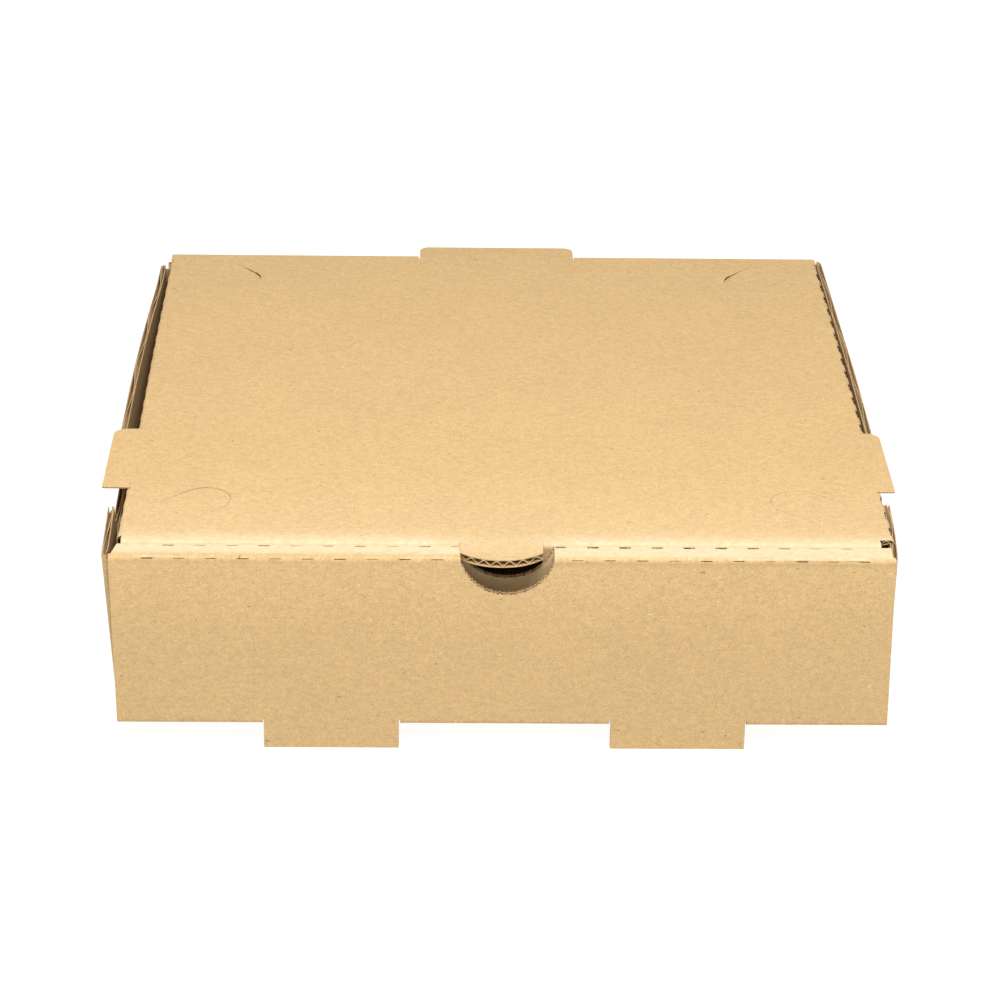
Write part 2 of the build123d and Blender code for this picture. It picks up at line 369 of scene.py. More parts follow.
LID_LENGTH = Profile(
    [
        (LID_FRONT + MID + FLAP_DROP * tan(FRONT_TILT), FLAP_FOOT),
        (LID_FRONT + MID, HEIGHT - MID),
        (REAR, HEIGHT - MID),
    ],
    flat_run=1,
)
HINGE_LENGTH = Profile(
    [(0, HEIGHT - MID), (REAR - MID, HEIGHT - MID), (REAR - MID, 0)],
    flat_run=0,
)


# Outlines of the flat blanks

def rectangle(u0, u1, v0, v1):
    return [(u0, v0), (u1, v0), (u1, v1), (u0, v1)]


def mirrored(outline):
    return [(-u, v) for u, v in outline]


def arc(centre_u, centre_v, radius, start, end, steps=8):
    """Points on an arc, from one angle to another, in degrees."""
    angles = np.radians(np.linspace(start, end, steps + 1))
    return [(centre_u + radius * cos(a), centre_v + radius * sin(a)) for a in angles]


def stroke(points, width):
    """Outline of a knife cut along a line."""
    points = np.array(points)
    ways = np.gradient(points, axis=0)
    ways /= np.linalg.norm(ways, axis=1)[:, None]
    sides = np.stack([-ways[:, 1], ways[:, 0]], 1) * width / 2
    return [*map(tuple, points + sides), *map(tuple, (points - sides)[::-1])]


def slit(middle_u, middle_v, length, width, upright=False):
    """Outline of a short knife cut with pointed ends, across the blank or along it."""
    half = length / 2
    shoulder = half * 0.7
    outline = [(-half, 0), (-shoulder, -width / 2), (shoulder, -width / 2)]
    outline += [(-u, -v) for u, v in outline]
    if upright:
        outline = [(-v, u) for u, v in outline]
    return [(middle_u + u, middle_v + v) for u, v in outline]


def front_v(z):
    """Flat coordinate of a height on the front panel."""
    return TRAY_LENGTH.flat(FRONT_PANEL, HEIGHT - MID - z)


def inner_v(z):
    """Flat coordinate of a height on the roll-over's inner panel."""
    return TRAY_LENGTH.flat(INNER_PANEL, z - LOCK_TIP)


def strip_v(y):
    """Flat coordinate of a place on the roll-over's top strip."""
    return TRAY_LENGTH.flat(STRIP, FRONT + ROLL - MID - y)


def rear_v(z):
    return TRAY_LENGTH.flat(REAR_WALL, z - MID)


def wall_u(z):
    """Flat coordinate of a height on the right side wall."""
    return TRAY_WIDTH.flat(2, (z - MID) / cos(WALL_LEAN))


def flap_u(z):
    """Flat coordinate of a height on the lid's right flap."""
    return LID_WIDTH.flat(2, (HEIGHT - MID - z) / cos(LID_LEAN))


def flap_v(z):
    """Flat coordinate of a height on the lid's front flap."""
    return LID_LENGTH.flat(0, (z - FLAP_FOOT) / cos(FRONT_TILT))


def ear_point(x, z, run):
    """Flat place of a point of the right wall's front ear (run 0) or rear ear (run 2)."""
    along = (x - WALL_FOOT) * sin(WALL_LEAN) + (z - MID) * cos(WALL_LEAN)
    inward = (WALL_FOOT - x) * cos(WALL_LEAN) + (z - MID) * sin(WALL_LEAN)
    if run == 0:
        inward = EAR_REACH - inward
    return TRAY_WIDTH.flat(2, along), WALL_LENGTH.flat(run, inward)


def ear(run):
    """Outline of the right wall's front or rear ear."""
    end_foot = EAR_FOOT + (WALL_FOOT - EAR_END) * tan(WALL_LEAN)
    corners = (
        (wall_x(EAR_FOOT), EAR_FOOT),
        (wall_x(EAR_TOP), EAR_TOP),
        (EAR_END + EAR_CORNER, EAR_TOP),
        (EAR_END, EAR_TOP - EAR_CORNER),
        (EAR_END, end_foot + EAR_CORNER),
        (EAR_END + EAR_CORNER, end_foot),
    )
    outline = [ear_point(x, z, run) for x, z in corners]
    inside_wall = WALL_FRONT + 2 * FOLD if run == 0 else WALL_REAR - 2 * FOLD
    return [(outline[0][0], inside_wall), (outline[1][0], inside_wall), *outline[1:], outline[0]]


def varied(number, least, step):
    """A share between least and 1, which changes unevenly with the number."""
    return (1 + least) / 2 + (1 - least) / 2 * sin(step * number)


def notch():
    """Outline of the thumb notch across both front panels and the strip, with its teeth."""
    radius = (NOTCH_DEPTH ** 2 + NOTCH_REACH ** 2) / (2 * NOTCH_DEPTH)
    centre_z = HEIGHT - NOTCH_DEPTH + radius
    half_angle = acos((radius - NOTCH_DEPTH) / radius)
    teeth = int(radius * 2 * half_angle / SERRATION) * 2
    curve = []
    for step in range(teeth + 1):
        angle = half_angle * (2 * step / teeth - 1)
        tooth = TOOTH * varied(step, 1 / 3, 1.7) if 1 < step < teeth - 1 else 0
        reach = radius + tooth * (-1) ** step
        curve.append((NOTCH_X + reach * sin(angle), centre_z - reach * cos(angle)))
    outer = [(x, front_v(z)) for x, z in curve]
    rise = 1 - NOTCH_RISE / NOTCH_DEPTH
    inner = [(x, inner_v(HEIGHT - (HEIGHT - z) * rise)) for x, z in reversed(curve)]
    return outer + inner


def dash_middles():
    """Places of the perforations: along the strip's front crease, then its rear crease."""
    steps = DASH_START + np.arange(DASH_COUNT) * DASH_PITCH
    front = [NOTCH_X + side * step for side in (-1, 1) for step in steps]
    left, right = REAR_DASH_SHIFTS
    rear = [*(NOTCH_X - steps + left), *(NOTCH_X + steps - right)]
    return front, rear


def perforations():
    """Outlines of the cuts along the strip's front crease and its rear one."""
    creases = TRAY_LENGTH.fold(STRIP), TRAY_LENGTH.fold(INNER_PANEL)
    front_v, rear_v = (crease + shift for crease, shift in zip(creases, DASH_SHIFTS))
    front_width, rear_width = DASH_WIDTHS
    front, rear = dash_middles()
    cuts = []
    for number, u in enumerate(front):
        width = front_width * varied(number, 0.5, 2.3)
        cuts.append(slit(u, front_v, DASH_LENGTH, width))
    for number, u in enumerate(rear):
        tear = REAR_DASH_TEAR if 0 < u < REAR_DASH_TORN else 0
        width = rear_width * varied(number, 0.5, 2.3) + tear
        cuts.append(slit(u, rear_v, DASH_LENGTH, width))
    return cuts


def tray_blank():
    """Layers of the tray's blank: each outline, and what it leaves there. Later ones win."""
    panel_foot = inner_v(PANEL_FOOT)
    strip_start = strip_v(FRONT + BOARD)
    strip_end = strip_v(FRONT + ROLL - MID)
    foot_root = TRAY_LENGTH.starts[FRONT_PANEL] + TRAY_LENGTH.lengths[FRONT_PANEL]
    left, right = ROLL_ENDS
    roll = [
        (-HALF + STRIP_INSET, strip_start),
        (HALF - STRIP_INSET, strip_start),
        (right, strip_end),
        (right, panel_foot),
        (left, panel_foot),
        (left, strip_end),
    ]
    layers = [
        (rectangle(-HALF, HALF, strip_start, rear_v(HEIGHT - HINGE_EDGE)), PANEL),
        (roll, PANEL),
    ]
    raised = wall_u(EAR_FOOT)
    wall_top = wall_u(WALL_TOP)
    latch_foot = wall_u(WALL_TOP - LATCH_DEPTH)
    past_wall = wall_u(HEIGHT + 5)
    gap_front = rectangle(HALF - 2 * FOLD, raised, WALL_FRONT - KERF, WALL_FRONT)
    gap_rear = rectangle(HALF - 2 * FOLD, raised, WALL_REAR, WALL_REAR + KERF)
    for turned, latch_front in ((mirrored, LATCH_FRONTS[0]), (list, LATCH_FRONTS[1])):
        latch = rectangle(latch_foot, past_wall, latch_front, LATCH_REAR)
        layers.append((turned(gap_front), CUT))
        layers.append((turned(gap_rear), CUT))
        layers.append((turned(rectangle(0, raised, WALL_FRONT, WALL_REAR)), PANEL))
        layers.append((turned(rectangle(0, wall_top, WALL_FRONT + FOLD, WALL_REAR - FOLD)), PANEL))
        layers.append((turned(ear(0)), PANEL))
        layers.append((turned(ear(2)), PANEL))
        layers.append((turned(latch), CUT))
    slot_end = FRONT + SLOT_END
    lock_tip = inner_v(LOCK_TIP)
    for middle in FOOT_MIDDLES:
        left, right = middle - FOOT_WIDTH / 2, middle + FOOT_WIDTH / 2
        layers.append((rectangle(left - KERF, right + KERF, foot_root, slot_end), CUT))
        layers.append((rectangle(left, right, foot_root, slot_end - KERF), TAB))
        left, right = middle - LOCK_WIDTH / 2, middle + LOCK_WIDTH / 2
        layers.append((rectangle(left, right, lock_tip, panel_foot), PANEL))
    layers.append((notch(), CUT))
    layers += [(cut, CUT) for cut in perforations()]
    left, right = REAR_TAB_X - VENT_HALF, REAR_TAB_X + VENT_HALF
    layers.append((rectangle(left, right, rear_v(VENT_FOOT), rear_v(HEIGHT)), CUT))
    return layers


def thumb_tab(grow=0):
    """Outline of the lid's thumb tab, grown by this much at its sides and end."""
    half = THUMB_WIDTH / 2 + grow
    root = LID_LENGTH.starts[1]
    shoulder = LID_FRONT - THUMB_STRAIGHT
    drop = shoulder - LID_LOW[1] + grow
    radius = (drop ** 2 + half ** 2) / (2 * drop)
    sweep = np.degrees(acos((radius - drop) / radius))
    curve = arc(THUMB_X, shoulder - drop + radius, radius, -90 - sweep, -90 + sweep, 24)
    return [(THUMB_X - half, root), *curve, (THUMB_X + half, root)]


def side_tab(grow=0):
    """Outline of the lid's right tab."""
    root = LID_WIDTH.starts[1] + LID_WIDTH.lengths[1]
    tip = LID_HIGH[0] + grow
    front, rear = SIDE_TAB_FRONT - grow, SIDE_TAB_REAR + grow
    at_front, at_rear = SIDE_TAB_CORNERS
    return [
        (root, front),
        *arc(tip - at_front, front + at_front, at_front, -90, 0, 4),
        *arc(tip - at_rear, rear - at_rear, at_rear, 0, 90),
        (root, rear),
    ]


def rear_tab():
    """Outline of the lid's rear tab, from the front of the hinge crease."""
    right = REAR_TAB_X + REAR_TAB_HALF
    left = REAR_TAB_X - REAR_TAB_HALF
    tip = LID_HIGH[1]
    radius = REAR_TAB_CORNER
    return [
        (left, REAR - HINGE_EDGE),
        (right, REAR - HINGE_EDGE),
        *arc(right - radius, tip - radius, radius, 0, 90),
        *arc(left + radius, tip - radius, radius, 90, 180),
    ]


def tongue(side, end_y):
    """Line of the knife cut round a tongue, which points at the middle of the lid."""
    middle = Vector((side * TONGUE_X, end_y))
    way = -middle.normalized()
    across = Vector((-way.y, way.x))
    half = TONGUE_WIDTH / 2
    straight = TONGUE_LENGTH - half
    steps = 12
    line = [middle + across * half - way * straight * (1 - step / 4) for step in range(4)]
    for step in range(2 * steps + 1):
        angle = pi / 2 - pi * step / (2 * steps)
        line.append(middle + (way * cos(angle) + across * sin(angle)) * half)
    line += [middle - across * half - way * straight * step / 4 for step in range(1, 5)]
    return [tuple(point) for point in line]


def lid_blank():
    """Layers of the lid's blank."""
    tip_u = flap_u(FLAP_FOOT)
    taper_u = flap_u(HEIGHT - BOARD - OUTER_FOLD)
    flap = [
        (0, FLAP_FRONT),
        (taper_u, FLAP_FRONT),
        (tip_u, FLAP_FRONT + FLAP_TAPER),
        (tip_u, FLAP_REAR - FLAP_TAPER),
        (taper_u, FLAP_REAR),
        (0, FLAP_REAR),
    ]
    left, right = FRONT_FLAP_ENDS
    taper_v = flap_v(HEIGHT - BOARD - OUTER_FOLD)
    front_flap = [
        (left, FLAP_FRONT),
        (left, taper_v),
        (left + FLAP_TAPER, flap_v(FLAP_FOOT)),
        (right - FLAP_TAPER, flap_v(FLAP_FOOT)),
        (right, taper_v),
        (right, FLAP_FRONT),
    ]
    end = REAR - HINGE_EDGE
    layers = [
        (flap, PANEL),
        (mirrored(flap), PANEL),
        (front_flap, PANEL),
        (rectangle(-LID_SIDE, LID_SIDE, FLAP_REAR + KERF, end), PANEL),
        (rectangle(-LID_SIDE + OUTER_FOLD, LID_SIDE - OUTER_FOLD, FLAP_REAR, end), PANEL),
        (thumb_tab(SLIT), CUT),
        (thumb_tab(), TAB),
        (rear_tab(), TAB),
    ]
    scores = np.arange(LID_FRONT + SCORE_MARGIN, REAR - SCORE_MARGIN, SCORE_PITCH)
    before_tab = scores < SIDE_TAB_FRONT - SCORE_TAB_GAP
    behind_tab = scores > SIDE_TAB_REAR + SCORE_TAB_GAP
    score_u = LID_WIDTH.fold(1) + SCORE_OUT
    for turned, width in ((mirrored, SCORE_WIDTHS[0]), (list, SCORE_WIDTHS[1])):
        for v in scores[before_tab | behind_tab]:
            score = slit(score_u, v, SCORE_LENGTH, width, upright=True)
            layers.append((turned(score), CUT))
        layers.append((turned(side_tab(KERF)), CUT))
        layers.append((turned(side_tab()), TAB))
    for side, end_y, *_ in TONGUES:
        layers.append((stroke(tongue(side, end_y), SLIT), CUT))
    return layers


def hinge_blank():
    """Layers of the crease between the lid and the rear wall, on both sides of the rear tab."""
    begin = REAR - HINGE_EDGE
    end = HINGE_LENGTH.flat(1, HINGE_EDGE - MID)
    left = REAR_TAB_X - REAR_TAB_HALF - KERF
    right = REAR_TAB_X + REAR_TAB_HALF + KERF
    return [
        (rectangle(-LID_SIDE + LID_ENDS[0], left, begin, end), PANEL),
        (rectangle(right, LID_SIDE + LID_ENDS[1], begin, end), PANEL),
    ]


# Cutting the flat meshes

def inside(points, outline):
    """Whether each point is inside a closed outline."""
    u, v = points[:, :1], points[:, 1:]
    u0, v0 = np.array(outline).T
    u1, v1 = np.roll(u0, -1), np.roll(v0, -1)
    rise = np.where(v1 == v0, 1, v1 - v0)
    crossing = u0 + (v - v0) * (u1 - u0) / rise
    return (((v0 > v) != (v1 > v)) & (u < crossing)).sum(1) % 2 == 1


def grid_lines(low, high, spacing, extra=()):
    """Even lines over a range, with others that they make room for."""
    even = np.linspace(low, high, int((high - low) / spacing) + 2)
    extra = np.array(sorted(extra))
    if len(extra):
        even = [line for line in even if np.abs(extra - line).min() > 0.3 * spacing]
    return np.unique(np.round(np.concatenate([even, extra]), 5))


def cut_out(layers, us, vs, shear=0.0):
    """Cuts a grid along the layers' outlines. Returns its points, triangles and each one's layer.

    The grid's lines lean sideways by shear, as the flutes do."""
    lean = np.array([[1, 0], [-shear, 1]])
    across, along = len(us), len(vs)
    points = [np.stack(np.meshgrid(us, vs), -1).reshape(-1, 2)]
    index = np.arange(across * along).reshape(along, across)
    edges = [
        np.stack([index[:, :-1], index[:, 1:]], -1).reshape(-1, 2),
        np.stack([index[:-1], index[1:]], -1).reshape(-1, 2),
    ]
    count = across * along
    leaned = [(np.array(outline) @ lean, kind) for outline, kind in layers]
    for outline, _ in leaned:
        ring = np.arange(len(outline)) + count
        points.append(outline)
        edges.append(np.stack([ring, np.roll(ring, -1)], 1))
        count += len(outline)
    points = [Vector(p) for p in np.concatenate(points).tolist()]
    edges = np.concatenate(edges).tolist()
    points, _, faces, *_ = delaunay_2d_cdt(points, edges, [], 0, 1e-4, False)
    points = np.array([tuple(p) for p in points])
    faces = np.array(faces)
    middles = points[faces].mean(1)
    kinds = np.full(len(faces), CUT)
    for outline, kind in leaned:
        low, high = outline.min(0), outline.max(0)
        near = np.flatnonzero(((middles >= low) & (middles <= high)).all(1))
        kinds[near[inside(middles[near], outline)]] = kind
    corners = points[faces]
    sides = corners[:, 1:] - corners[:, :1]
    areas = sides[:, 0, 0] * sides[:, 1, 1] - sides[:, 0, 1] * sides[:, 1, 0]
    faces[areas < 0] = faces[areas < 0][:, ::-1]
    kept = (kinds != CUT) & (np.abs(areas) > 1e-7)
    used, faces = np.unique(faces[kept], return_inverse=True)
    return points[used] @ np.linalg.inv(lean), faces.reshape(-1, 3), kinds[kept]


def thicken(points, faces, low, high):
    """Closed solid between two heights over a flat mesh.

    Returns its points, and its faces below, above and round the rim."""
    count = len(points)
    solid = np.concatenate([np.column_stack([points, level]) for level in (low, high)])
    loops = np.concatenate([faces[:, [0, 1]], faces[:, [1, 2]], faces[:, [2, 0]]])
    keys = loops[:, 0] * count + loops[:, 1]
    reverse = loops[:, 1] * count + loops[:, 0]
    rim = loops[~np.isin(keys, reverse)]
    sides = np.column_stack([rim[:, 0], rim[:, 1], rim[:, 1] + count, rim[:, 0] + count])
    return solid, faces[:, ::-1], faces + count, sides


# Shapes after folding

def smooth(value, low, high):
    """0 below low and 1 above high, with an even turn between."""
    share = np.clip((value - low) / (high - low), 0, 1)
    return share * share * (3 - 2 * share)


def lip_shares(u, v):
    """How much each point belongs to the lifted edge of a perforation, on the strip's side."""
    crease = TRAY_LENGTH.fold(STRIP)
    share = np.zeros(len(u))
    for number, middle in enumerate(dash_middles()[0]):
        share += varied(number, 0.2, 3.1) * np.exp(-((u - middle) / DASH_LENGTH * 1.7) ** 4)
    return share * (v < crease) * np.exp(-((v - crease) / LIP_SPREAD) ** 2)


def tray_painted_light(u, v, w, panel, side):
    """Painted highlight and painted shade on the tray's paper, on its panels and on its sides."""
    left = u < 0
    crease = TRAY_LENGTH.fold(STRIP)
    rear_crease = TRAY_LENGTH.fold(INNER_PANEL)
    # Painted highlight on the strip, and on the lifted lips of its front dashes
    strip_highlight = smooth(v, rear_crease - 0.8, rear_crease)
    strip_highlight *= smooth(crease - v, -0.3, np.where(left, *STRIP_HIGHLIGHT_FADES))
    painted_light = strip_highlight * panel + lip_shares(u, v)
    # Painted shade, darker towards the foot of the front
    painted_light -= FRONT_SHADE * smooth(v - crease, 2, FRONT_SHADE_DROP) * (1 - smooth(v - FRONT, 10, 20))
    # Painted shade just below the strip's front crease
    below_crease = (v - crease - CREASE_SHADE_SPREAD) / CREASE_SHADE_SPREAD
    painted_light -= np.where(left, *CREASE_SHADE) * np.exp(-below_crease ** 2)
    painted_light *= w < 0
    # Painted light on the inner panel's face in the thumb notch, which is in shade
    painted_light = np.where(panel & (w > 0) & (v < rear_crease - 1), NOTCH_LIGHT, painted_light)
    # Painted shade inside the sides, near their tops, in the gap under the lid
    out = np.abs(u)
    high = smooth(out, *(wall_u(WALL_TOP - drop) for drop in WALL_SHADE))
    high *= out < wall_u(WALL_TOP) - 0.5
    return np.where(side & (w > 0), -high, painted_light)


def fold_tray(u, v, w, tab):
    """Folded place of the tray's flat points, and the painted light and shade on each."""
    across = (np.abs(u) > HALF + 0.1) | ((v >= WALL_FRONT) & (v <= WALL_REAR))
    panel = ~across & ~tab
    side = across & ~tab
    x, y, z = u.copy(), v.copy(), w.copy()
    pressed = TRAY_LENGTH.press(v[panel], w[panel])
    y[panel], z[panel] = TRAY_LENGTH.place(v[panel], pressed)
    up_wall = (np.abs(u) > wall_u(PANEL_FOOT))[side]
    pressed = TRAY_WIDTH.press(u[side], w[side])
    along, inward = WALL_LENGTH.place(v[side], WALL_LENGTH.press(v[side], pressed))
    y[side] = np.where(up_wall, along, v[side])
    x[side], z[side] = TRAY_WIDTH.place(u[side], np.where(up_wall, inward, pressed))
    root = TRAY_LENGTH.starts[FRONT_PANEL] + TRAY_LENGTH.lengths[FRONT_PANEL]
    tip = FRONT + SLOT_END - KERF
    z[tab] = OUTER_FOLD + (v[tab] - root) / (tip - root) * (FOOT_TIP - OUTER_FOLD)
    y[tab] = FRONT + MID + w[tab]
    return np.stack([x, y, z], 1), tray_painted_light(u, v, w, panel, side)


def lid_painted_light(u, v, w, tab, side):
    """Painted highlight and painted shade on the lid and on its side flaps."""
    crease = LID_LENGTH.fold(0)
    by_thumb = smooth(THUMB_WIDTH / 2 + 4 - np.abs(u - THUMB_X), 0, 5)
    # Painted highlight on the lid's front crease, weaker by the thumb tab
    painted_light = LID_LENGTH.crease(np.maximum(v, crease), LID_HIGHLIGHT_SPREAD)
    painted_light *= smooth(v, crease - np.where(tab, *LID_HIGHLIGHT_FADES), crease)
    painted_light *= LID_HIGHLIGHT + (THUMB_HIGHLIGHT - LID_HIGHLIGHT) * by_thumb
    # Painted highlight, brighter towards the lid's front
    painted_light += LID_FRONT_HIGHLIGHT * (1 - smooth(v, crease, crease + LID_FRONT_HIGHLIGHT_LENGTH))
    painted_light *= w > 0
    # Painted shade outside the side flaps, near the lid, in the gap by the walls
    below = np.abs(u) - LID_WIDTH.fold(1)
    shaded_flap = side & (below > 0.3) & (w > 0)
    return np.where(shaded_flap, smooth(below, *FLAP_SHADE) - 1, painted_light)


def fold_lid(u, v, w, tab):
    """Folded place of the lid's flat points, and the painted light and shade on each."""
    x, y, z = u.copy(), v.copy(), w + HEIGHT - MID
    front = ~tab & (v < FLAP_FRONT - 0.5)
    pressed = LID_LENGTH.press(v[front], w[front])
    y[front], z[front] = LID_LENGTH.place(v[front], pressed)
    side = ~tab & ~front & (v < FLAP_REAR + KERF / 2)
    pressed = LID_WIDTH.press(u[side], w[side])
    x[side], z[side] = LID_WIDTH.place(u[side], pressed)
    # The thumb tab's end is splayed open, and the side tabs' front edges are crushed
    swell = THUMB_SWELL * smooth(LID_FRONT - v, 0, LID_FRONT - LID_LOW[1])
    crush = TAB_CRUSH * smooth(SIDE_TAB_FRONT + 3 - v, 0, 3) * (np.abs(u) > THUMB_WIDTH)
    z[tab] -= ((MID - w) * (swell - crush))[tab]
    return np.stack([x, y, z], 1), lid_painted_light(u, v, w, tab, side)


def fold_hinge(u, v, w, tab):
    """Folded place of the hinge crease's flat points, with its fluted paper pressed flatter."""
    w = np.where(np.abs(w) < MID - LINER / 2, w * HINGE_FLUTES, w)
    y, z = HINGE_LENGTH.place(v, HINGE_LENGTH.press(v, w, HINGE_SPREAD))
    return np.stack([u, y, z + REAR_RISE], 1), np.zeros_like(u)


def settle_tray(places, flats):
    """The small ways in which the folded tray isn't true."""
    x, y, z = places.T
    u, v, _ = flats.T
    left = x < 0
    on_wall = (np.abs(u) > HALF) & (v > WALL_FRONT - 0.2) & (v < WALL_REAR + 0.2)
    on_wall |= np.abs(u) > wall_u(PANEL_FOOT)
    up = np.clip(z / HEIGHT, 0, 1.05)
    outer = smooth(np.abs(x), SIDE_START, HALF)
    wall_up = up * outer * on_wall
    # The front is narrower than the bottom, and the walls lean in to it
    foot_in = np.where(left, *IN_AT_FOOT)
    wall_in, front_in = np.where(left, *WALL_IN_AT_TOP), np.where(left, *FRONT_IN_AT_TOP)
    top_in = np.where(on_wall, wall_in, front_in)
    fade = np.exp(-np.clip(y - WALL_FRONT, 0, None) / IN_FADE)
    inward = (foot_in + (top_in - foot_in) * up) * fade * outer
    # The walls bow outwards along their length, and lean in at the rear
    along = (y - np.where(left, *BOW_MIDDLES)) / np.where(left, *BOW_HALVES)
    bow = np.where(left, *BOW) * np.clip(1 - along ** 2, 0, None)
    tuck = np.where(left, *TUCK) * smooth(y, TUCK_START, WALL_REAR)
    x = x - np.sign(x) * (inward + (tuck - bow) * wall_up)
    # Their rear ends lie forward and down on the left, and back and up on the right
    rearward = smooth(y, REAR_END_START, WALL_REAR) * wall_up
    y = y + np.where(left, *REAR_END_BACK) * rearward
    z = z + np.where(left, *REAR_END_UP) * rearward
    # The bottom sags a little at the front crease, and the feet stretch to their tips
    sag = smooth(FRONT + SAG_LENGTH - y, 0, SAG_LENGTH - 1)
    sag *= smooth(SAG_HEIGHT - z, 0, SAG_HEIGHT) * smooth(z, FOOT_TIP, 0)
    z = z - SAG * sag
    # The rear wall stands a little higher than the front
    at_rear = smooth(y, REAR - HINGE_EDGE, REAR - BOARD - 0.1)
    z = z + REAR_RISE * at_rear * smooth(z, 0, HEIGHT - RISE_END)
    lips = lip_shares(u, v)
    return np.stack([x, y - LIP_FORWARD * lips, z + LIP_UP * lips], 1)


def press_tongues(z, flats):
    """Heights of the lid's points, with the tongues' edges pressed in."""
    u, v, _ = flats.T
    for side, end_y, left_depth, right_depth in TONGUES:
        on = inside(flats[:, :2], tongue(side, end_y))
        middle = Vector((side * TONGUE_X, end_y))
        way = -middle.normalized()
        along = (u - middle.x) * way.x + (v - middle.y) * way.y
        across = (v - middle.y) * way.x - (u - middle.x) * way.y
        reach = smooth(along, -TONGUE_LENGTH + TONGUE_WIDTH / 2, TONGUE_WIDTH / 2)
        share = np.clip(0.5 - across / TONGUE_WIDTH, 0, 1)
        z = z - (left_depth * (1 - share) + right_depth * share) * reach * on
    return z


def settle_lid(places, flats):
    """The small ways in which the closed lid isn't true."""
    x, y, z = places.T
    z = press_tongues(z, flats)
    # Racked to the left at the front, but with both side creases further right
    out = np.abs(x)
    by_crease = smooth(out, SIDE_START, LID_SIDE - 1)
    by_crease *= 1 - smooth(out, LID_SIDE + 0.3, LID_SIDE + 4)
    left = x < 0
    at_rear, at_front = np.where(left, *LID_ENDS), np.where(left, *LID_ENDS_FRONT)
    turned = np.where(left, *(smooth(-y, *turn) for turn in LID_TURNS))
    right = at_rear + (at_front - at_rear) * turned
    x = x + by_crease * right - RACK * (REAR - y)
    z = z + REAR_RISE * (smooth(y, RISE_START, REAR - 2) - smooth(y, REAR, REAR + 7))
    return np.stack([x, y, z], 1)


# Materials

# How often the paper's marks repeat in a metre: across the blank, along it and through it
CLOUDS = (35, 30, 30)
PULP = (600, 900, 700)
GRAIN = (1900, 2900, 2500)
FLECKS = (700, 1300, 900)
SPECKS = (520, 760, 600)
CUT_FIBRES = (700, 500, 5000)
GRAIN_SPREAD = 0.31        # how far the grain moves the tone, from dark to light
CLOUD_PART = 0.1           # and the clouds and the pulp, as shares of that
PULP_PART = 0.45
DARK, LIGHT = 0.7, 1.3     # tones, as shares of the paper's colour
FLECK_TONE = 1.5
SPECK_TONE = 0.35
# tone of the painted shade
SHADE_TONE = 0.6
HIGHLIGHT_COLOUR = (0.80, 0.68, 0.47, 1)  # colour of the painted highlight
# The noise where a mark begins and where it is full, and its strength at both
FLECK_RAMP = (0.7, 0.78, 0, 0.5)
SPECK_RAMP = (0.775, 0.8, 0, 0.6)
# the painted highlight is patchy with the pulp
HIGHLIGHT_RAMP = (0.2, 0.8, 0.35, 0.65)
BUMP = 0.15                # strength of the paper's relief
BUMP_HEIGHT = 0.08
FLUTE_BUMP = 0.12          # of the flutes' ridges, beside the grain's


class Graph:
    """Builds one material's nodes."""

    def __init__(self, name):
        self.material = bpy.data.materials.new(name)
        self.material.use_nodes = True
        self.tree = self.material.node_tree
        self.shader = self.tree.nodes["Principled BSDF"]

    def node(self, kind, **inputs):
        """Adds a node, and links or sets its inputs by name, or by number as _0, _1."""
        made = self.tree.nodes.new(kind)
        for name, value in inputs.items():
            self.put(made, name, value)
        return made

    def put(self, made, name, value):
        key = int(name[1:]) if name[1:].isdigit() else name.replace("_", " ")
        if isinstance(value, bpy.types.NodeSocket):
            self.tree.links.new(value, made.inputs[key])
        else:
            made.inputs[key].default_value = value

    def maths(self, operation, *values):
        made = self.tree.nodes.new("ShaderNodeMath")
        made.operation = operation
        for number, value in enumerate(values):
            self.put(made, f"_{number}", value)
        return made.outputs[0]

    def attribute(self, name):
        made = self.tree.nodes.new("ShaderNodeAttribute")
        made.attribute_name = name
        return made

    def blank(self, scale):
        """The piece's place on its flat blank, scaled along each way."""
        place = self.attribute("blank").outputs["Vector"]
        mapping = self.node("ShaderNodeMapping", Vector=place, Scale=scale)
        return mapping.outputs[0]

    def noise(self, scale, detail, roughness=0.5):
        made = self.node("ShaderNodeTexNoise", Vector=self.blank(scale), Scale=1.0)
        made.inputs["Detail"].default_value = detail
        made.inputs["Roughness"].default_value = roughness
        return made.outputs["Fac"]

    def ramp(self, value, low, high, to_low=0.0, to_high=1.0):
        made = self.node("ShaderNodeMapRange", Value=value)
        made.inputs["From Min"].default_value = low
        made.inputs["From Max"].default_value = high
        made.inputs["To Min"].default_value = to_low
        made.inputs["To Max"].default_value = to_high
        return made.outputs[0]

    def mix(self, share, first, second):
        made = self.tree.nodes.new("ShaderNodeMix")
        made.data_type = "RGBA"
        self.put(made, "_0", share)
        self.put(made, "_6", first)
        self.put(made, "_7", second)
        return made.outputs[2]


def shade(colour, share):
    return tuple(min(channel * share, 1) for channel in colour[:3]) + (1,)


def flute_wave(graph):
    """Height of the flutes' ridges, which show faintly through the liner."""
    place = graph.node("ShaderNodeSeparateXYZ", Vector=graph.attribute("blank").outputs["Vector"])
    lean = graph.maths("MULTIPLY", place.outputs["Y"], FLUTE_SKEW)
    along = graph.maths("SUBTRACT", place.outputs["X"], lean)
    return graph.maths("SINE", graph.maths("MULTIPLY", along, 2 * pi / (FLUTE * MM)))


